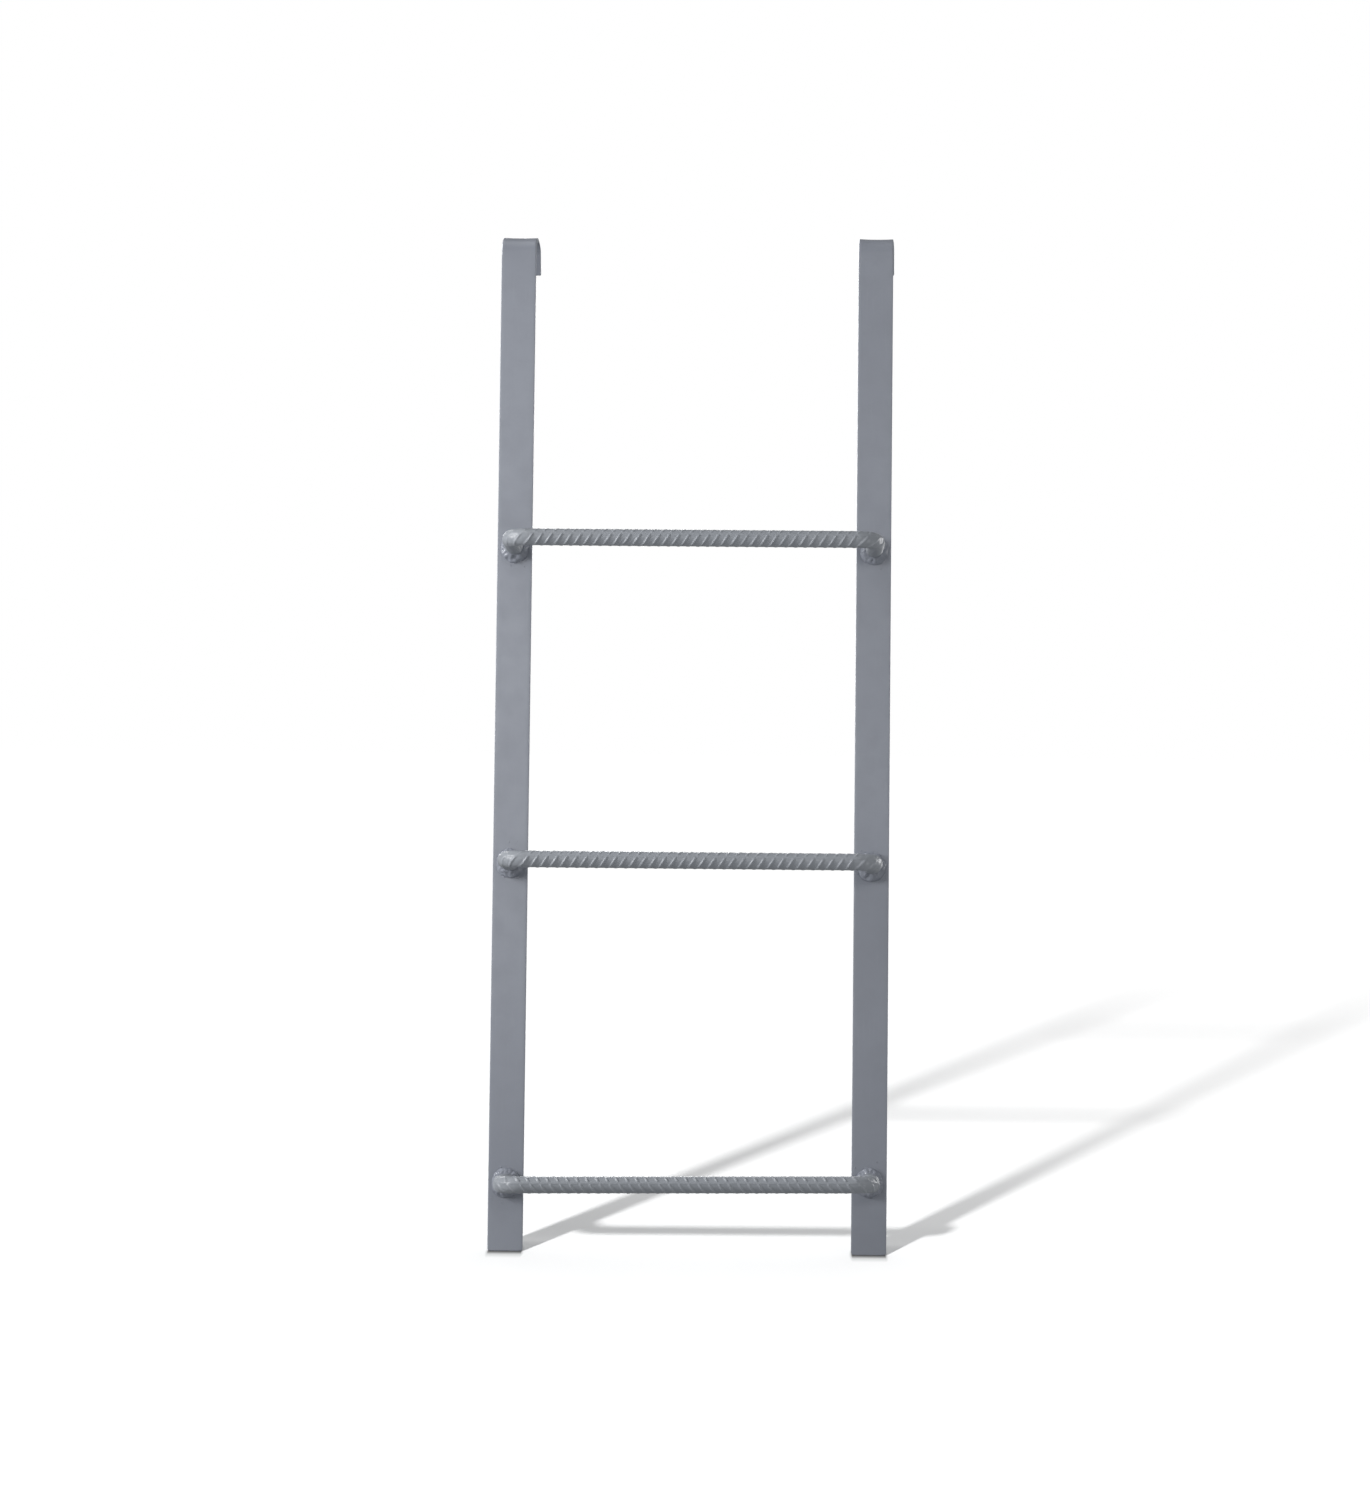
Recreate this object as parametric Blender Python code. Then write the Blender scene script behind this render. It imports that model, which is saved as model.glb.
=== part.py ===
# A welded steel egress ladder that hooks over the rim of a window well. Two flat-bar stiles are bent over into
# hooks at the top, three rungs of reinforcing bar have their ends bent back as stand-off legs, and a ring of
# weld joins each leg to the front of a stile. Metres, +Z up, X across the ladder, -Y towards the climber. The
# origin is level with the feet, under the middle of the ladder's box.

import math

import bmesh
import bpy

INCH = 0.0254

WIDTH = 17 * INCH  # outside of one stile to outside of the other
HEIGHT = 1.116  # feet to the top of the hooks

STILE_WIDTH = 1.5 * INCH
STILE_THICKNESS = 3 / 16 * INCH
STILE_EDGE = 0.0007  # rounding of the rolled bar's long edges
STILE_CORNER = 0.0025  # rounding of the corners at the feet and the hook ends

HOOK_DEPTH = 0.036  # front of the stile to the back of the hook
HOOK_DROP = 0.039  # top of the hook to the end of its back leg

BAR_RADIUS = 5 / 16 * INCH  # reinforcing bar of 5/8 inch nominal diameter
BEND_RADIUS = 0.020  # centre line of the bends in the rungs
STANDOFF = 0.080  # front of the stiles to the centre line of the rungs
RUNG_HEIGHTS = {"bottom": 0.076, "middle": 0.421, "top": 0.766}

WELD_RADIUS = 0.015
WELD_HEIGHT = 0.0065
WELD_TOE = 0.0012  # height of the bead's rim where it meets the stile

GAP = 0.0003  # left between pieces that touch

STILE_X = (WIDTH - STILE_WIDTH) / 2  # centre line of each stile, and of the legs on it
FRONT_Y = (STANDOFF + BAR_RADIUS - HOOK_DEPTH) / 2  # front faces of the stiles
SIDES = {"left": -1, "right": 1}

ARC_STEPS = 16  # segments in a half circle
WELD_STEPS = 24  # segments round a weld ring
BAR_RESOLUTION = 6  # gives the bar 16 sides

STILE_PAINT = {"colour": (0.237, 0.252, 0.281), "roughness": 0.48}
RUNG_PAINT = {"colour": (0.243, 0.258, 0.287), "roughness": 0.42}
WELD_PAINT = {"colour": (0.225, 0.240, 0.265), "roughness": 0.36}


def clear_scene():
    for thing in list(bpy.data.objects):
        bpy.data.objects.remove(thing, do_unlink=True)


def make_paint(name, paint):
    material = bpy.data.materials.new(name)
    material.use_nodes = True
    shader = material.node_tree.nodes["Principled BSDF"]
    shader.inputs["Base Color"].default_value = (*paint["colour"], 1.0)
    shader.inputs["Roughness"].default_value = paint["roughness"]
    shader.inputs["Metallic"].default_value = 0.0
    return material


def place(data, name, location, paint, parent):
    data.materials.append(make_paint(name + "_paint", paint))
    thing = bpy.data.objects.new(name, data)
    thing.location = location
    thing.parent = parent
    bpy.context.scene.collection.objects.link(thing)
    return thing


def arc(centre, radius, start, end, steps=ARC_STEPS):
    """Points on a circle from one angle to another, both in degrees."""
    angles = [math.radians(start + (end - start) * i / steps) for i in range(steps + 1)]
    return [(centre[0] + radius * math.cos(a), centre[1] + radius * math.sin(a)) for a in angles]


def stile_outline():
    """The stile seen from its side: y is 0 on its front face, z is 0 at its foot."""
    outer = HOOK_DEPTH / 2
    inner = outer - STILE_THICKNESS
    centre = (outer, HEIGHT - outer)
    tip_z = HEIGHT - HOOK_DROP
    over = arc(centre, outer, 180, 0)
    under = arc(centre, inner, 0, 180)
    tip = [(HOOK_DEPTH, tip_z), (HOOK_DEPTH - STILE_THICKNESS, tip_z)]
    return [(0.0, 0.0), *over, *tip, *under, (STILE_THICKNESS, 0.0)]


def is_end_corner(edge):
    """True for the short edges across the bar's thickness at its foot and at its hook's tip."""
    a, b = (vertex.co for vertex in edge.verts)
    same_level = abs(a.z - b.z) < 1e-6 and abs(a.x - b.x) < 1e-6
    return same_level and min(abs(a.z), abs(a.z - HEIGHT + HOOK_DROP)) < 1e-6


def stile_mesh():
    bm = bmesh.new()
    side = bm.faces.new([bm.verts.new((-STILE_WIDTH / 2, y, z)) for y, z in stile_outline()])
    extruded = bmesh.ops.extrude_face_region(bm, geom=[side])["geom"]
    far_side = [g for g in extruded if isinstance(g, bmesh.types.BMVert)]
    bmesh.ops.translate(bm, verts=far_side, vec=(STILE_WIDTH, 0, 0))
    bmesh.ops.recalc_face_normals(bm, faces=bm.faces)
    corners = [edge for edge in bm.edges if is_end_corner(edge)]
    bmesh.ops.bevel(bm, geom=corners, offset=STILE_CORNER, segments=4, profile=0.5, affect="EDGES")
    mesh = bpy.data.meshes.new("stile")
    bm.to_mesh(mesh)
    bm.free()
    mesh.shade_smooth()
    mesh.set_sharp_from_angle(angle=math.radians(35))
    return mesh


def add_stile(name, side, parent):
    stile = place(stile_mesh(), name, (side * STILE_X, FRONT_Y, 0), STILE_PAINT, parent)
    edges = stile.modifiers.new("rolled edges", "BEVEL")
    edges.width = STILE_EDGE
    edges.segments = 2
    edges.limit_method = "ANGLE"
    edges.angle_limit = math.radians(40)
    return stile


def rung_path():
    """The rung's centre line seen from above: y is 0 on the front of the stiles."""
    bend_x = STILE_X - BEND_RADIUS
    bend_y = BEND_RADIUS - STANDOFF
    half = ARC_STEPS // 2
    left = arc((-bend_x, bend_y), BEND_RADIUS, 180, 270, half)
    right = arc((bend_x, bend_y), BEND_RADIUS, 270, 360, half)
    return [(-STILE_X, -GAP), *left, *right, (STILE_X, -GAP)]


def add_rung(name, height, parent):
    bar = bpy.data.curves.new(name, "CURVE")
    bar.dimensions = "3D"
    bar.bevel_depth = BAR_RADIUS
    bar.bevel_resolution = BAR_RESOLUTION
    bar.use_fill_caps = True
    path = rung_path()
    spline = bar.splines.new("POLY")
    spline.points.add(len(path) - 1)
    for point, (x, y) in zip(spline.points, path):
        point.co = (x, y, 0, 1)
    return place(bar, name, (0, FRONT_Y, height), RUNG_PAINT, parent)


def weld_outline():
    """Half of the ring's cross-section: x is the distance from the leg's axis, y is 0 on the stile."""
    hole = BAR_RADIUS + GAP
    toe_y = -GAP - WELD_TOE
    rise = WELD_HEIGHT - WELD_TOE
    steps = 4
    crown = []
    for i in range(1, steps):
        turn = math.radians(90 * i / steps)
        crown.append((hole + (WELD_RADIUS - hole) * math.cos(turn), toe_y - rise * math.sin(turn)))
    return [(hole, -GAP), (WELD_RADIUS, -GAP), (WELD_RADIUS, toe_y), *crown, (hole, toe_y - rise)]


def weld_mesh():
    bm = bmesh.new()
    section = [bm.verts.new((x, y, 0)) for x, y in weld_outline()]
    edges = [bm.edges.new((a, b)) for a, b in zip(section, section[1:] + section[:1])]
    turn = {"cent": (0, 0, 0), "axis": (0, 1, 0), "angle": 2 * math.pi, "steps": WELD_STEPS}
    bmesh.ops.spin(bm, geom=section + edges, use_merge=True, **turn)
    bmesh.ops.recalc_face_normals(bm, faces=bm.faces)
    mesh = bpy.data.meshes.new("weld")
    bm.to_mesh(mesh)
    bm.free()
    mesh.shade_smooth()
    mesh.set_sharp_from_angle(angle=math.radians(50))
    return mesh


def build_ladder():
    clear_scene()
    ladder = bpy.data.objects.new("ladder", None)
    bpy.context.scene.collection.objects.link(ladder)
    for side_name, side in SIDES.items():
        add_stile("stile_" + side_name, side, ladder)
    for level, height in RUNG_HEIGHTS.items():
        add_rung("rung_" + level, height, ladder)
        for side_name, side in SIDES.items():
            seat = (side * STILE_X, FRONT_Y, height)
            place(weld_mesh(), f"weld_{level}_{side_name}", seat, WELD_PAINT, ladder)


build_ladder()
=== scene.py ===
import math
import random

import bmesh
import bpy
from mathutils import Matrix, Vector, noise


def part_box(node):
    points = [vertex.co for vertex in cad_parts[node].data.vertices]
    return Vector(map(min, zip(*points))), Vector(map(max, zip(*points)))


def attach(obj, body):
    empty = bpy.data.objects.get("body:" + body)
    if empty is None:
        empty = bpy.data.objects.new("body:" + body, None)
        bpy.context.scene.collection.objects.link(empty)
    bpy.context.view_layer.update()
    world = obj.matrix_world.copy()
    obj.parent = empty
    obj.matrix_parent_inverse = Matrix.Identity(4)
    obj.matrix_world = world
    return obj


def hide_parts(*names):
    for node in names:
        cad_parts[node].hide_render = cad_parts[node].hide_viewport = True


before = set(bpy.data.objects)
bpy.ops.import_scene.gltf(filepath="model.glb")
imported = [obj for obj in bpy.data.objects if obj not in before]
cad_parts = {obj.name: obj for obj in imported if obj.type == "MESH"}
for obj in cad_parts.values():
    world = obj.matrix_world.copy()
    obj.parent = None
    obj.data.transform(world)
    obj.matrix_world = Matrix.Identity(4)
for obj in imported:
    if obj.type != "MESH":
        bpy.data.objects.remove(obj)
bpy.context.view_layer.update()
print("frame loaded:", len(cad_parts), "steel parts")

# where things are, from the CAD parts; all lengths in metres
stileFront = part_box("stile_left")[0][1]
stileX = {}
for side in ("left", "right"):
    low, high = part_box("stile_" + side)
    stileX[side] = (low[0] + high[0]) / 2
rungLevels = ("bottom", "middle", "top")


# eases from 0 at low to 1 at high
def smooth(low, high, value):
    t = min(max((value - low) / (high - low), 0.0), 1.0)
    return t * t * (3 - 2 * t)


# soft random lumps, between about -1 and 1
def lumps(x, y, z, scale, shift):
    return noise.noise(Vector((x * scale + shift, y * scale - shift, z * scale + 2 * shift)))


crisp = 42                    # degrees from which an edge stays sharp
dropLooks = {"bump": 0.22, "bumpScale": 1.6, "relief": 0.7}


# rings of points joined into one closed skin, each ring a closed loop;
# climb turns the quads' diagonals, so that they run along ribs that lean the other way;
# extras are small drops, each with its centre, half sizes and a number for its lumps
def skin(name, rings, wrap=False, relief=None, extras=(), climb=False):
    count = len(rings[0])
    shell = bmesh.new()
    height = shell.verts.layers.float.new("relief")
    rows = []
    for r, ring in enumerate(rings):
        row = [shell.verts.new(point) for point in ring]
        if relief:
            for vert, value in zip(row, relief[r]):
                vert[height] = value
        rows.append(row)
    last = len(rows) if wrap else len(rows) - 1
    for r in range(last):
        here = rows[r]
        there = rows[(r + 1) % len(rows)]
        for i in range(count):
            j = (i + 1) % count
            corners = (here[i], here[j], there[j], there[i])
            shell.faces.new(corners[1:] + corners[:1] if climb else corners)
    if not wrap:
        shell.faces.new(list(reversed(rows[0])))
        shell.faces.new(rows[-1])
    for centre, size, seed in extras:
        made = bmesh.ops.create_icosphere(shell, subdivisions=3, radius=1.0)
        for vert in made["verts"]:
            bump = 1 + dropLooks["bump"] * lumps(*vert.co, dropLooks["bumpScale"], seed)
            vert.co = Vector(centre) + Vector([vert.co[i] * size[i] * bump for i in range(3)])
            vert[height] = dropLooks["relief"]
    bmesh.ops.recalc_face_normals(shell, faces=shell.faces)
    for face in shell.faces:
        face.smooth = True
    mesh = bpy.data.meshes.new(name)
    shell.to_mesh(mesh)
    shell.free()
    mesh.set_sharp_from_angle(angle=math.radians(crisp))
    piece = bpy.data.objects.new(name, mesh)
    bpy.context.scene.collection.objects.link(piece)
    return piece


# the two hooked flat bars
stileLooks = {
    "steel": 0.0047625,       # 3/16 inch bar
    "hookDrop": {"left": 0.039, "right": 0.0365},   # crown to hook tip
    "edge": 0.000765,         # rolled edge radius
    "footCorner": 0.0026,
    "tipCorner": 0.0016,
    "pinch": 0.024,           # the bend narrows the outside and spreads the inside
    "lift": 0.00055,          # and lifts the two edges
    "settle": {"left": 0.0012, "right": 0.0},    # and one crown is bent a touch lower
    "skew": {"left": 0.0038, "right": 0.0025},   # the hook's back leg runs a little off line
    "drift": (0.75, 0.28),    # shares of the skew gained over the crown, and down the leg
    "runIn": 0.012,           # length over which the bar starts to bend
    "legRun": 0.03,
    "endEdge": 0.0006,        # dulled edge of the cut ends
    "wave": 0.00012,          # rolled steel is never quite flat
    "waveScale": 22.0,
    "waveShift": {"left": 3.0, "right": 7.0},
    "rub": (0.0022, 0.0003),  # how near the edge the paint starts to wear, and is worn most
    "columns": 12,
    "step": 0.006,
    "hookSteps": 32,
    "ends": (0.0, 0.0001, 0.0003, 0.0006, 0.001, 0.0016, 0.0024, 0.0034),
}


# a flat bar's section: (across, outward) with rounded edges, front first
def barSection(halfWidth, halfThick, edge, columns):
    points = []
    corners = ((1, 1), (-1, 1), (-1, -1), (1, -1))
    for c, (sideX, sideY) in enumerate(corners):
        start = c * 90
        for i in range(6):
            turn = math.radians(start + i * 18)
            points.append((
                sideX * (halfWidth - edge) + edge * math.cos(turn),
                sideY * (halfThick - edge) + edge * math.sin(turn),
            ))
        flat = halfWidth - edge
        if c in (0, 2):
            for i in range(1, columns):
                share = 1 - 2 * i / columns
                if c == 2:
                    share = -share
                points.append((flat * share, sideY * halfThick))
        else:
            points.append((sideX * halfWidth, 0.0))
    return points


def endRounding(distance, radius):
    if distance >= radius:
        return 0.0
    return radius - math.sqrt(max(radius ** 2 - (radius - distance) ** 2, 0.0))


def makeStile(side, looks):
    low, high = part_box("stile_" + side)
    halfWidth = (high[0] - low[0]) / 2
    halfThick = looks["steel"] / 2
    middle = stileX[side]
    outer = (high[1] - low[1]) / 2
    bendY = low[1] + outer
    bendZ = high[2] - outer - looks["settle"][side]
    tipZ = high[2] - looks["hookDrop"][side]
    run = outer - halfThick

    # stations along the bar: centre, outward direction, how bent, how far round the hook,
    # how far from a cut end
    runIn = looks["runIn"]
    hookSteps = looks["hookSteps"]
    halfBent = 0.8            # where the straight parts meet the crown
    stations = []
    front = list(looks["ends"])
    height = looks["step"]
    while height < bendZ - 0.004:
        front.append(height)
        height += looks["step"]
    front += [bendZ - 0.003, bendZ - 0.001]
    for z in front:
        bent = 0.0 if z < bendZ - runIn else smooth(bendZ - runIn, bendZ + 0.004, z)
        stations.append(((low[1] + halfThick, z), (-1.0, 0.0), bent, 0.0, z))
    for i in range(hookSteps + 1):
        turn = math.radians(180 * i / hookSteps)
        centre = (bendY - run * math.cos(turn), bendZ + run * math.sin(turn))
        bent = 1.0 if 3 < i < hookSteps - 3 else halfBent
        stations.append((centre, (-math.cos(turn), math.sin(turn)), bent, turn / math.pi, 1.0))
    back = [bendZ - gap for gap in (0.002, 0.005, 0.008, 0.011, 0.014)]
    back += [tipZ + gap for gap in reversed(looks["ends"])]
    for z in back:
        bent = halfBent * smooth(bendZ - runIn, bendZ, z)
        along = 1.0 + (bendZ - z) / looks["legRun"]
        stations.append(((high[1] - halfThick, z), (1.0, 0.0), bent, along, z - tipZ))

    onCrown, onLeg = looks["drift"]
    rubFrom, rubTo = looks["rub"]
    rings = []
    relief = []
    for centre, out, bent, along, toEnd in stations:
        corner = looks["footCorner"] if along == 0.0 else looks["tipCorner"]
        inset = endRounding(toEnd, corner)
        soft = endRounding(toEnd, looks["endEdge"])
        halves = (halfWidth - inset - soft, halfThick - soft)
        section = barSection(*halves, looks["edge"], looks["columns"])
        drift = onCrown * smooth(0.1, 0.9, along) + onLeg * max(along - 0.9, 0.0)
        skew = looks["skew"][side] * drift
        ring = []
        worn = []
        for across, outward in section:
            share = across / halfWidth
            x = middle + skew + across * (1 - looks["pinch"] * outward / halfThick * bent)
            lift = looks["lift"] * bent * (share ** 2 - 0.45)
            wave = lumps(x, *centre, looks["waveScale"], looks["waveShift"][side])
            far = outward + lift + looks["wave"] * wave
            ring.append((x, centre[0] + out[0] * far, centre[1] + out[1] * far))
            worn.append(smooth(halfWidth - rubFrom, halfWidth - rubTo, abs(across)))
        rings.append(ring)
        relief.append(worn)
    return skin("hooked_flat_bar_" + side, rings, relief=relief)


# the three ribbed rungs
rungLooks = {
    "core": 0.00895,          # bar radius between the ribs, paint included
    "bend": 0.020,            # radius of the two knuckles, to the middle of the bar
    "rib": 0.00102,
    "seam": 0.00045,          # the two ribs that run lengthways
    "pitch": 0.0105,
    "flank": (0.00020, 0.00200),     # a rib falls from its crest to the bar between these
    "seamFlank": (0.0006, 0.0019),
    "uneven": 0.30,           # how much one rib differs from the next
    "jitter": 0.0005,         # and how far it strays from its place
    "jitterScale": 61.0,
    "flatBelow": (0.72, 0.97),       # where feet and rollers press the ribs, top and bottom
    "flatShare": 0.62,
    "corner": 0.25,           # where ribs cross, part of the lower one adds on
    "bendFade": 0.12,         # the bends flatten the ribs
    "bendFlat": 0.05,         # and the bar
    "endFade": 0.010,         # the welder's heat takes them off at the ends
    "paint": (0.00003, 0.00040),     # lumps of the coat, straight and in the bends
    "paintScale": 300.0,
    "around": 92,
    "step": 0.00042,
    "into": 0.0006,           # how far the legs run into the stile face
    # seam: degrees above the front; above and below it: how the ribs lean, and how bold they are
    "top": {
        "seam": 24, "above": (0.62, 0.6), "below": (0.66, 1.0), "shift": 0.0073, "wave": 11.0,
    },
    "middle": {
        "seam": 24, "above": (0.62, 0.6), "below": (0.66, 1.0), "shift": 0.0072, "wave": 23.0,
    },
    "bottom": {
        "seam": 14, "above": (-0.56, 1.0), "below": (-0.62, 1.0), "shift": 0.0024, "wave": 37.0,
    },
}
# welded by hand: how far each rung sits above its mark, and its slope
offMark = {"bottom": (0.0005, 0.0113), "middle": (0.0, 0.0), "top": (0.0015, 0.0)}


# stations along a rung: length from its middle, place from above, outward direction, how bent
def rungPath(level, looks):
    low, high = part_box("rung_" + level)
    height = (low[2] + high[2]) / 2
    radius = (high[2] - low[2]) / 2
    left = low[0] + radius
    right = high[0] - radius
    frontY = low[1] + radius
    bend = looks["bend"]
    legEnd = stileFront + looks["into"]
    leg = legEnd - (frontY + bend)
    arc = bend * math.pi / 2
    run = right - left - 2 * bend
    total = 2 * leg + 2 * arc + run
    count = int(total / looks["step"])
    stations = []
    for i in range(count + 1):
        s = total * i / count
        if s <= leg:
            place, out, bent = (left, legEnd - s), (-1.0, 0.0), 0.0
        elif s <= leg + arc:
            turn = (s - leg) / bend
            place = (left + bend - bend * math.cos(turn), frontY + bend - bend * math.sin(turn))
            out, bent = (-math.cos(turn), -math.sin(turn)), math.sin(2 * turn)
        elif s <= leg + arc + run:
            place, out, bent = (left + bend + s - leg - arc, frontY), (0.0, -1.0), 0.0
        elif s <= leg + 2 * arc + run:
            turn = (s - leg - arc - run) / bend
            place = (right - bend + bend * math.sin(turn), frontY + bend - bend * math.cos(turn))
            out, bent = (math.sin(turn), -math.cos(turn)), math.sin(2 * turn)
        else:
            back = frontY + bend + s - leg - 2 * arc - run
            place, out, bent = (right, back), (1.0, 0.0), 0.0
        stations.append((s - total / 2, place, out, max(bent, 0.0)))
    return stations, height


def makeRung(level, looks):
    turned = looks[level]
    stations, height = rungPath(level, looks)
    core, pitch, around = looks["core"], looks["pitch"], looks["around"]
    raised, slope = offMark[level]
    thin, thick = looks["paint"]
    seamAt = math.radians(turned["seam"])
    halfLength = stations[-1][0]
    rings = []
    relief = []
    for s, place, out, bent in stations:
        ring = []
        worn = []
        fade = 1 - looks["bendFade"] * smooth(0.3, 0.95, bent)
        fade *= smooth(0.0, looks["endFade"], halfLength - abs(s))
        stray = looks["jitter"] * lumps(s, 0.0, 0.0, looks["jitterScale"], turned["wave"])
        for i in range(around):
            angle = 2 * math.pi * i / around
            fromSeam = (angle - seamAt + math.pi) % (2 * math.pi) - math.pi
            # ribs on the upper half and on the lower half meet at the seams
            half = "above" if fromSeam >= 0 else "below"
            lean, bold = turned[half]
            along = (s - turned["shift"] - stray - lean * core * fromSeam) / pitch
            number = math.floor(along + 0.5)
            crest = 1 - smooth(*looks["flank"], abs(along - number) * pitch)
            ownSize = noise.noise(Vector((number * 1.7, turned["wave"], fromSeam)))
            strength = 1 + looks["uneven"] * ownSize
            pressed = smooth(*looks["flatBelow"], abs(math.sin(angle)))
            share = bold * (1 - looks["flatShare"] * pressed)
            runsOut = smooth(0.0, 0.30, math.sin(abs(fromSeam)))
            rib = looks["rib"] * crest * strength * runsOut * share
            offSeam = min(abs(fromSeam), math.pi - abs(fromSeam)) * core
            seam = looks["seam"] * (1 - smooth(*looks["seamFlank"], offSeam))
            rise = max(rib, seam) + looks["corner"] * min(rib, seam)
            spotAt = (place[0] + core * math.cos(angle), s, core * math.sin(angle))
            coat = (thin + thick * bent) * lumps(*spotAt, looks["paintScale"], turned["wave"])
            radius = core + rise * fade + coat
            flat = 1 - looks["bendFlat"] * bent * max(math.cos(angle), 0.0)
            outward = radius * math.cos(angle) * flat
            x = place[0] + out[0] * outward
            y = place[1] + out[1] * outward
            z = height + radius * math.sin(angle) + raised + slope * place[0]
            ring.append((x, y, z))
            # from this the hollows between the ribs get painted shade, the crests the worn colour,
            # partly a painted highlight
            worn.append(min(rise * fade / looks["rib"], 1.0))
        rings.append(ring)
        relief.append(worn)
    climb = turned["below"][0] > 0
    return skin("ribbed_rung_" + level, rings, relief=relief, climb=climb)


# the six weld beads
weldLooks = {
    "toe": 0.0150,            # radius on the stile
    "toeWander": 0.0014,
    "sag": 0.0020,            # the metal ran down a little
    "leg": 0.0080,            # radius on the rung's leg
    "height": 0.0068,
    "heightWander": 0.0016,
    "wanderScale": (1.5, 1.7),
    "bulge": 0.0021,
    "ripple": 0.00020,        # the rings left by the torch
    "ripples": 17,
    "lump": 0.0014,
    "lumpScale": 0.19,        # lumps and grit per millimetre
    "grit": 0.00035,
    "gritScale": 0.25,
    "pits": 3,
    "pitDepth": 0.0011,
    "pitSize": (1.5, 1.1),    # millimetres round the bead and across it
    "beadSize": (11.5, 9.4),  # the bead's mean radius and its width, in millimetres
    "push": (0.69, 0.72),     # the way bulges and lumps rise: off the leg, and off the stile
    "tuck": 0.0004,           # the toe turns under
    "into": 0.0006,           # how far the bead runs into the stile
    "lap": 0.0016,            # and into the rung's leg
    "reliefHeight": 0.0032,   # from hollows to crests
    "around": 190,
    "across": 26,
    "spatter": 7,
    "spatterSize": (0.0005, 0.0011),
    "spatterFlat": 0.55,
    "spatterReach": (0.0165, 0.024),
}


def makeWeld(level, side, seed, looks):
    low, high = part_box("weld_" + level + "_" + side)
    centreX = (low[0] + high[0]) / 2
    centreZ = (low[2] + high[2]) / 2 + offMark[level][0] + offMark[level][1] * centreX
    dice = random.Random(seed)
    shift = dice.uniform(5.0, 60.0)
    pits = []
    for _ in range(looks["pits"]):
        pitAngle = dice.uniform(0, 2 * math.pi)
        pits.append((pitAngle, dice.uniform(0.3, 0.8), dice.uniform(0.5, 0.9)))
    start = dice.uniform(0, 2 * math.pi)
    toeScale, topScale = looks["wanderScale"]
    pitWide, pitLong = looks["pitSize"]
    beadRadius, beadWidth = looks["beadSize"]
    offLeg, offStile = looks["push"]
    into = looks["into"]
    rings = []
    relief = []
    for a in range(looks["around"]):
        angle = 2 * math.pi * a / looks["around"]
        dirX, dirZ = math.cos(angle), math.sin(angle)
        toe = looks["toe"] + looks["toeWander"] * lumps(dirX, dirZ, 0.0, toeScale, shift)
        toe += looks["sag"] * smooth(0.1, 1.0, -dirZ)
        top = looks["height"] + looks["heightWander"] * lumps(dirX, dirZ, 0.0, topScale, shift + 9)
        ring = [(toe - looks["tuck"], -into)]
        worn = [0.0]
        for v in range(looks["across"] + 1):
            t = v / looks["across"]
            rho = toe + (looks["leg"] - toe) * t
            rise = top * t
            swell = looks["bulge"] * math.sin(math.pi * t) ** 0.65
            beat = (angle - start) * looks["ripples"] / 2 + 1.1 * math.sin(math.pi * t)
            wave = looks["ripple"] * (abs(math.sin(beat)) * 2 - 1) * math.sin(math.pi * t) ** 0.6
            spotAt = (dirX * rho * 1000, dirZ * rho * 1000, rise * 1000)
            wide = looks["lump"] * lumps(*spotAt, looks["lumpScale"], shift)
            small = looks["grit"] * lumps(*spotAt, looks["gritScale"], shift + 4)
            # both rims of the bead stay where they join the steel
            hold = smooth(0.0, 0.2, t)
            if t > 0.5:
                hold *= smooth(1.08, 0.8, t)
            dent = 0.0
            for pitAngle, pitT, depth in pits:
                away = (angle - pitAngle + math.pi) % (2 * math.pi) - math.pi
                far = (away * beadRadius / pitWide) ** 2 + ((t - pitT) * beadWidth / pitLong) ** 2
                dent += looks["pitDepth"] * depth * math.exp(-far)
            rough = wave + wide + small - dent
            push = swell + rough * hold
            rho += push * offLeg
            rise += push * offStile
            ring.append((rho, rise))
            # from this the bead's hollows get painted shade, its crests the worn colour, partly a
            # painted highlight
            worn.append(min(max(0.5 + rough / looks["reliefHeight"], 0.0), 1.0))
        ring.append((looks["leg"] - looks["lap"], top - into))
        ring.append((looks["leg"] - looks["lap"], -into))
        worn += [0.0, 0.0]
        rings.append([
            (centreX + rho * dirX, stileFront - rise, centreZ + rho * dirZ) for rho, rise in ring
        ])
        relief.append(worn)
    drops = []
    for _ in range(looks["spatter"]):
        size = dice.uniform(*looks["spatterSize"])
        angle = dice.uniform(0, 2 * math.pi)
        far = dice.uniform(*looks["spatterReach"])
        x = centreX + far * math.cos(angle)
        z = centreZ + far * math.sin(angle)
        if abs(x - centreX) < looks["spatterReach"][0]:
            halves = (size, size * looks["spatterFlat"], size)
            drops.append(((x, stileFront, z), halves, dice.uniform(1, 50)))
    return skin("weld_bead_" + level + "_" + side, rings, wrap=True, relief=relief, extras=drops)


# wraps a socket, so that sums on sockets read as plain sums
class Wire:
    def __init__(self, paint, socket):
        self.paint = paint
        self.socket = socket

    def maths(self, operation, first, second):
        return self.paint.add("ShaderNodeMath", {"operation": operation}, {0: first, 1: second})

    def __add__(self, other):
        return self.maths("ADD", self, other)

    def __radd__(self, other):
        return self.maths("ADD", other, self)

    def __sub__(self, other):
        return self.maths("SUBTRACT", self, other)

    def __rsub__(self, other):
        return self.maths("SUBTRACT", other, self)

    def __mul__(self, other):
        return self.maths("MULTIPLY", self, other)

    def __rmul__(self, other):
        return self.maths("MULTIPLY", other, self)

    def size(self):
        return self.maths("ABSOLUTE", self, 0.0)

    def root(self):
        return self.maths("SQRT", self, 0.0)

    def atLeast(self, other):
        return self.maths("MAXIMUM", self, other)


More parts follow.
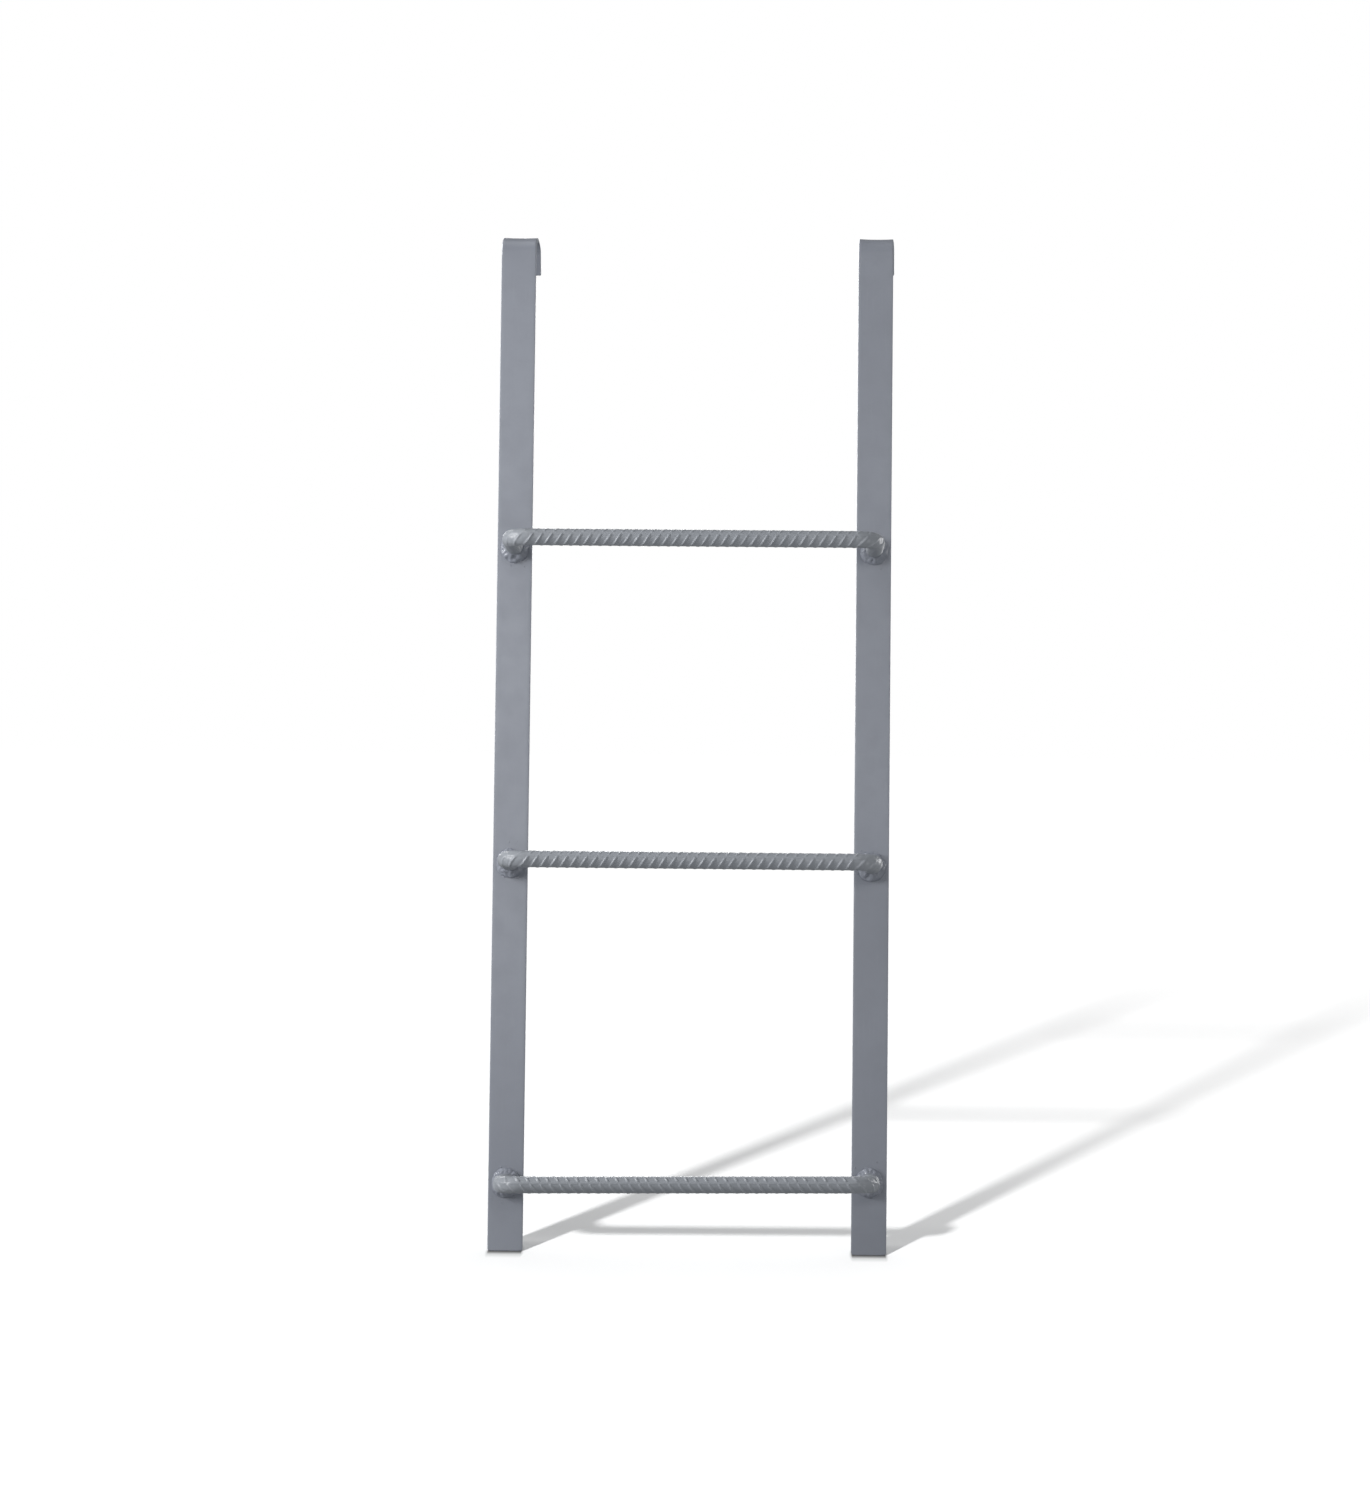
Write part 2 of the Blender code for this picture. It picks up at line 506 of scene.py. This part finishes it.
# the nodes of one material, or of the room
class Paint:
    def __init__(self, owner):
        owner.use_nodes = True
        self.owner = owner
        self.tree = owner.node_tree
        self.tree.nodes.clear()

    # settings first, then the values or links of the sockets
    def add(self, kind, settings=None, sockets=None, output=0):
        made = self.tree.nodes.new(kind)
        for name, value in (settings or {}).items():
            if name == "stops":
                ramp = made.color_ramp
                for i, (place, shade) in enumerate(value):
                    stop = ramp.elements[i] if i < len(ramp.elements) else ramp.elements.new(place)
                    stop.position = place
                    stop.color = (shade, shade, shade, 1)
            else:
                setattr(made, name, value)
        for name, value in (sockets or {}).items():
            if isinstance(value, Wire):
                self.tree.links.new(value.socket, made.inputs[name])
            else:
                made.inputs[name].default_value = value
        return Wire(self, made.outputs[output]) if made.outputs else None

    def ramp(self, value, *stops):
        return self.add("ShaderNodeValToRGB", {"stops": stops}, {"Fac": value})

    def cloud(self, place, scale, detail=3.0, rough=0.5):
        sockets = {"Vector": place, "Scale": scale, "Detail": detail, "Roughness": rough}
        return self.add("ShaderNodeTexNoise", None, sockets)

    def blend(self, factor, first, second):
        settings = {"data_type": "RGBA", "blend_type": "MIX"}
        return self.add("ShaderNodeMix", settings, {0: factor, 6: first, 7: second}, output=2)

    def stretch(self, place, scale):
        return self.add("ShaderNodeVectorMath", {"operation": "MULTIPLY"}, {0: place, 1: scale})


paintLooks = {
    "broad": 5.0,             # scales of the drifts, patches, grain, specks and drawn streaks
    "patch": 46.0,
    "grain": 640.0,
    "speck": 1500.0,
    "drawn": 420.0,
    "drawnOut": (1.0, 1.0, 0.035),        # streaks run along the bar
    "grey": (0.252, 0.268, 0.312, 1),
    "pale": (0.270, 0.287, 0.332, 1),
    "deep": (0.235, 0.250, 0.288, 1),
    "hollowShadeColour": (0.175, 0.187, 0.217, 1),   # painted shade in the hollows
    "worn": (0.360, 0.378, 0.420, 1),     # edges that hands and boots polish; on rib and bead crests partly a painted highlight
    "dust": (0.33, 0.335, 0.335, 1),
    "ior": 1.47,
    "bump": 0.00022,
}


# satin grey powder coat; the relief of each mesh tells crests from hollows;
# the hollows are darkened with painted shade, the crests and edges lightened with the worn colour,
# partly a painted highlight; the three amounts set how much the shade, the worn colour and the
# streaks show, peel is the grain of the coat
def greyPaint(name, looks, hollowShade, wearAndSheen, peel, streaks, rough=0.36, bumpy=0.35):
    paint = Paint(bpy.data.materials.new(name))
    place = paint.add("ShaderNodeTexCoord", output="Object")
    relief = paint.add("ShaderNodeAttribute", {"attribute_name": "relief"}, output="Fac")
    broad = paint.cloud(place, looks["broad"], 2.0)
    patch = paint.cloud(place, looks["patch"], 4.0, 0.6)
    grain = paint.cloud(place, looks["grain"], 2.0)
    speck = paint.cloud(place, looks["speck"], 1.0)
    drawn = paint.cloud(paint.stretch(place, looks["drawnOut"]), looks["drawn"], 3.0, 0.6)

    colour = paint.blend(paint.ramp(broad, (0.35, 0), (0.65, 1)), looks["grey"], looks["pale"])
    colour = paint.blend(paint.ramp(patch, (0.42, 0), (0.72, 0.5)), colour, looks["deep"])
    # painted shade: the hollows of the relief are darkened
    colour = paint.blend(paint.ramp(relief, (0.0, hollowShade), (0.45, 0)), colour, looks["hollowShadeColour"])
    colour = paint.blend(paint.ramp(speck, (0.68, 0), (0.80, 0.18)), colour, looks["dust"])
    # crests and edges take the worn colour: wear, and on rib and bead crests partly a painted
    # highlight
    edges = paint.ramp(relief, (0.72, 0), (1.0, 1))
    edges = edges * paint.ramp(patch + grain * 0.5, (0.55, 0.25), (0.9, 1))
    colour = paint.blend(edges * wearAndSheen, colour, looks["worn"])
    colour = paint.blend(paint.ramp(drawn, (0.58, 0), (0.74, streaks)), colour, looks["worn"])

    rough = rough + (patch - 0.5) * 0.16 + (grain - 0.5) * 0.08 - edges * 0.06
    height = grain * peel + patch * 0.5 + speck * 0.12
    bump = paint.add("ShaderNodeBump", None, {
        "Height": height, "Strength": bumpy, "Distance": looks["bump"],
    })
    shader = paint.add("ShaderNodeBsdfPrincipled", None, {
        "Base Color": colour, "Roughness": rough, "Metallic": 0.0,
        "IOR": looks["ior"], "Normal": bump,
    })
    paint.add("ShaderNodeOutputMaterial", None, {"Surface": shader})
    return paint.owner


stilePaint = greyPaint(
    "grey_coat_flat_bar", paintLooks, hollowShade=0.0, wearAndSheen=0.22, peel=0.55, streaks=0.10,
)
# the rungs take a lighter, less blue copy of the same coat: painted light on the round bars
lighterRungLooks = dict(
    paintLooks,
    grey=(0.290, 0.308, 0.336, 1),
    pale=(0.306, 0.324, 0.354, 1),
    deep=(0.272, 0.289, 0.316, 1),
)
rungPaint = greyPaint(
    "grey_coat_ribbed_bar", lighterRungLooks,
    hollowShade=0.10, wearAndSheen=0.6, peel=0.10, streaks=0.0, rough=0.40, bumpy=0.07,
)
weldPaint = greyPaint(
    "grey_coat_weld", paintLooks, hollowShade=0.08, wearAndSheen=0.5, peel=0.25, streaks=0.0, rough=0.30,
)
print("paint mixed")


# paint on, riding the one welded body, in place of its plain part
def dress(piece, material, slot, *nodes):
    piece.data.materials.append(material)
    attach(piece, "root")
    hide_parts(*nodes)
    return piece


pieces = []
for side in ("left", "right"):
    stile = makeStile(side, stileLooks)
    pieces.append(dress(stile, stilePaint, "stile_paint", "stile_" + side))
print("hooked flat bars built")

for level in rungLevels:
    rung = makeRung(level, rungLooks)
    pieces.append(dress(rung, rungPaint, "rung_paint", "rung_" + level))
print("ribbed rungs built")

weldSeeds = {
    "bottom_left": 3, "bottom_right": 8,
    "middle_left": 14, "middle_right": 21,
    "top_left": 35, "top_right": 42,
}
for place, seed in weldSeeds.items():
    level, side = place.split("_")
    weld = makeWeld(level, side, seed, weldLooks)
    pieces.append(dress(weld, weldPaint, "weld_paint", "weld_" + place))
print("weld beads built")


# the pale floor, and how its shadows fade with distance: farther back the floor glows, painted
# light that fills the shadows in
floorLooks = {
    "size": 16.0,
    "cells": 24,
    "drop": 0.0004,           # below the feet
    "rise": 8.53,             # degrees up towards the back
    "white": (0.90, 0.90, 0.90, 1),
    "own": 1.03,              # brightness of the far floor's own glow: painted light that fills in its shadows
    "rough": 0.9,
    "grain": 60.0,
    # painted shadow: the dark line where the feet stand
    "footHalf": 0.0175,
    "footEdge": 9.0,
    "contact": 0.034,
    "under": ((0.0, 0.12), (0.2, 0.3), (0.45, 0.72), (1.0, 1.0)),
    # how much of the shadow is left at each share of "reach" behind the feet
    "reach": 2.5,
    "fade": (
        (0.0, 1.0), (0.018, 1.0), (0.023, 0.86), (0.037, 0.96), (0.055, 1.0),
        (0.74, 1.0), (0.95, 0.0),
    ),
    # and at each share of "slowReach"; the left stile's shadow fades later than the right one's
    "slowReach": 3.6,
    "slant": 0.44,            # the way the shadows run, across for each metre back
    "slower": 2.3,
    "slowFade": (
        (0.0, 1.0), (0.02, 0.97), (0.035, 0.92), (0.07, 0.81), (0.12, 0.78), (0.165, 0.72),
        (0.2, 0.65), (0.25, 0.58), (0.3, 0.53), (0.4, 0.48), (0.75, 0.47),
    ),
}


def floorMesh(looks):
    shell = bmesh.new()
    half = looks["size"] / 2
    cells = looks["cells"]
    slope = math.tan(math.radians(looks["rise"]))
    rows = []
    for j in range(cells + 1):
        row = []
        for i in range(cells + 1):
            x = -half + looks["size"] * i / cells
            y = -half + looks["size"] * j / cells
            row.append(shell.verts.new((x, y, (y - stileFront) * slope - looks["drop"])))
        rows.append(row)
    for j in range(cells):
        for i in range(cells):
            shell.faces.new((rows[j][i], rows[j][i + 1], rows[j + 1][i + 1], rows[j + 1][i]))
    mesh = bpy.data.meshes.new("pale_floor")
    shell.to_mesh(mesh)
    shell.free()
    return mesh


def floorPaint(looks):
    paint = Paint(bpy.data.materials.new("pale_floor"))
    place = paint.add("ShaderNodeTexCoord", output="Object")
    grain = paint.cloud(place, looks["grain"])
    across = paint.add("ShaderNodeSeparateXYZ", None, {"Vector": place}, output="X")
    depth = paint.add("ShaderNodeSeparateXYZ", None, {"Vector": place}, output="Y") - stileFront
    pace = 1 + (across - depth * looks["slant"]) * looks["slower"]
    kept = paint.ramp(depth * pace * (1 / looks["slowReach"]), *looks["slowFade"])
    kept = kept * paint.ramp(depth * (1 / looks["reach"]), *looks["fade"])
    # painted shadow at the feet: the floor's colour darkens near the foot lines
    sideways = across.size() - stileX["right"]
    beyond = (sideways.size() - looks["footHalf"]).atLeast(0) * looks["footEdge"]
    away = (beyond * beyond + depth * depth).root()
    under = paint.ramp(away * (1 / looks["contact"]), *looks["under"])
    shadedGround = paint.blend(under, (0, 0, 0, 1), looks["white"])
    shader = paint.add("ShaderNodeBsdfPrincipled", None, {
        # painted light: where less of the shadow is kept, the floor's colour gives way to its own
        # glow
        "Base Color": paint.blend(kept, (0, 0, 0, 1), shadedGround),
        "Emission Color": paint.blend(kept, (1, 1, 1, 1), (0, 0, 0, 1)),
        "Emission Strength": looks["own"],
        "Roughness": looks["rough"] + (grain - 0.5) * 0.1,
        "Specular IOR Level": 0.0,
    })
    paint.add("ShaderNodeOutputMaterial", None, {"Surface": shader})
    return paint.owner


def makeFloor(looks):
    mesh = floorMesh(looks)
    mesh.materials.append(floorPaint(looks))
    floor = bpy.data.objects.new("pale_floor", mesh)
    bpy.context.scene.collection.objects.link(floor)
    floor.visible_diffuse = False
    floor.visible_glossy = False
    return floor


floor = makeFloor(floorLooks)


# the steel and the floor are lit apart
def only(name, *things):
    group = bpy.data.collections.new(name)
    for thing in things:
        group.objects.link(thing)
    return group


steelOnly = only("lit_steel", *pieces)
floorOnly = only("lit_floor", floor)

lightLooks = {
    "ambient": 0.31,
    "room": (0.97, 0.99, 1.0, 1),
    "sun": {"heading": 23.74, "height": 14.78, "spread": 3.1, "strength": 5.2},
    "fill": {"spread": 120.0, "strength": 0.72},
    "key": {
        "place": (-0.95, -4.9, 1.02), "aim": (-0.52, 0.0, 0.86),
        "power": 122.0, "size": 0.28, "cone": 32.0,
    },
    "right": {
        "place": (0.74, -4.44, 1.36), "aim": (0.05, 0.0, 0.85),
        "power": 42.0, "size": 0.26, "cone": 34.0,
    },
    "side": {
        "place": (-2.1, -0.75, 1.0), "aim": (-0.1, 0.0, 0.6),
        "power": 46.0, "size": 0.5, "tall": 1.5,
    },
    "high": {"place": (-0.8, -0.55, 3.2), "aim": (0.0, 0.0, 0.7), "power": 12.0, "size": 1.6},
    "low": {"place": (1.9, -1.6, 0.1), "aim": (0.1, 0.0, 0.5), "power": 7.0, "size": 0.8},
    "behind": {"place": (-0.6, 2.6, 1.5), "aim": (0.0, 0.0, 0.5), "power": 40.0, "size": 1.6},
    "rear": {"place": (2.1, 1.9, 0.9), "aim": (0.1, 0.0, 0.5), "power": 22.0, "size": 1.2},
}


def aimed(name, data, place, aim, receivers):
    light = bpy.data.objects.new(name, data)
    light.location = place
    light.rotation_euler = (Vector(aim) - Vector(place)).to_track_quat("-Z", "Y").to_euler()
    bpy.context.scene.collection.objects.link(light)
    light.light_linking.receiver_collection = receivers
    return light


# spots and panels light the steel
def spot(name, looks):
    data = bpy.data.lights.new(name, "SPOT")
    data.energy = looks["power"]
    data.shadow_soft_size = looks["size"]
    data.spot_size = math.radians(looks["cone"])
    data.spot_blend = 1.0
    return aimed(name, data, looks["place"], looks["aim"], steelOnly)


def panel(name, looks):
    data = bpy.data.lights.new(name, "AREA")
    data.energy = looks["power"]
    data.shape = "ELLIPSE"
    data.size = looks["size"]
    data.size_y = looks.get("tall", looks["size"])
    return aimed(name, data, looks["place"], looks["aim"], steelOnly)


spot("left_lamp", lightLooks["key"])
spot("right_lamp", lightLooks["right"])
panel("side_panel", lightLooks["side"])
panel("high_panel", lightLooks["high"])
panel("back_panel", lightLooks["behind"])
panel("rear_side_panel", lightLooks["rear"])
panel("low_panel", lightLooks["low"])


# suns light the floor
def sun(name, looks, place):
    data = bpy.data.lights.new(name, "SUN")
    data.energy = looks["strength"]
    data.angle = math.radians(looks["spread"])
    return aimed(name, data, place, (0.0, 0.0, 0.0), floorOnly)


sunHeading = math.radians(lightLooks["sun"]["heading"])
sunHeight = math.radians(lightLooks["sun"]["height"])
sunFrom = Vector((
    -math.sin(sunHeading) * math.cos(sunHeight),
    -math.cos(sunHeading) * math.cos(sunHeight),
    math.sin(sunHeight),
)) * 5
sun("floor_sun", lightLooks["sun"], sunFrom)
sun("floor_fill", lightLooks["fill"], (0.0, 0.0, 5.0))

# the room is plain white to look at and dimmer as light
room = Paint(bpy.data.worlds.new("white_room"))
seen = room.add("ShaderNodeLightPath", output="Is Camera Ray")
dim = room.add("ShaderNodeBackground", None, {
    "Strength": lightLooks["ambient"], "Color": lightLooks["room"],
})
white = room.add("ShaderNodeBackground", None, {"Color": (1, 1, 1, 1)})
room.add("ShaderNodeOutputWorld", None, {
    "Surface": room.add("ShaderNodeMixShader", None, {0: seen, 1: dim, 2: white}),
})
bpy.context.scene.world = room.owner
bpy.context.scene.view_settings.view_transform = "Standard"
print("floor and lights set")


cameraLooks = {
    "place": (0.06392, -3.78321, 0.22551),
    "lens": 84.0,             # millimetres, as is the film
    "film": 36.0,
    "yaw": -0.018588,         # radians
    "pitch": 0.0667595,
    "roll": 0.0110484,
    "raise": 0.04,            # lens shift
}


def makeCamera(looks):
    data = bpy.data.cameras.new("camera")
    data.sensor_fit = "AUTO"
    data.sensor_width = looks["film"]
    data.lens = looks["lens"]
    data.shift_y = looks["raise"]
    data.clip_end = 100.0
    camera = bpy.data.objects.new("camera", data)
    yaw, pitch, roll = looks["yaw"], looks["pitch"], looks["roll"]
    ahead = Vector((
        math.sin(yaw) * math.cos(pitch),
        math.cos(yaw) * math.cos(pitch),
        math.sin(pitch),
    ))
    level = Vector((math.cos(yaw), -math.sin(yaw), 0.0))
    upright = level.cross(ahead)
    right = math.cos(roll) * level + math.sin(roll) * upright
    up = -math.sin(roll) * level + math.cos(roll) * upright
    turned = Matrix((right, up, -ahead)).transposed().to_4x4()
    camera.matrix_world = Matrix.Translation(looks["place"]) @ turned
    bpy.context.scene.collection.objects.link(camera)
    bpy.context.scene.camera = camera


makeCamera(cameraLooks)
print("camera set")
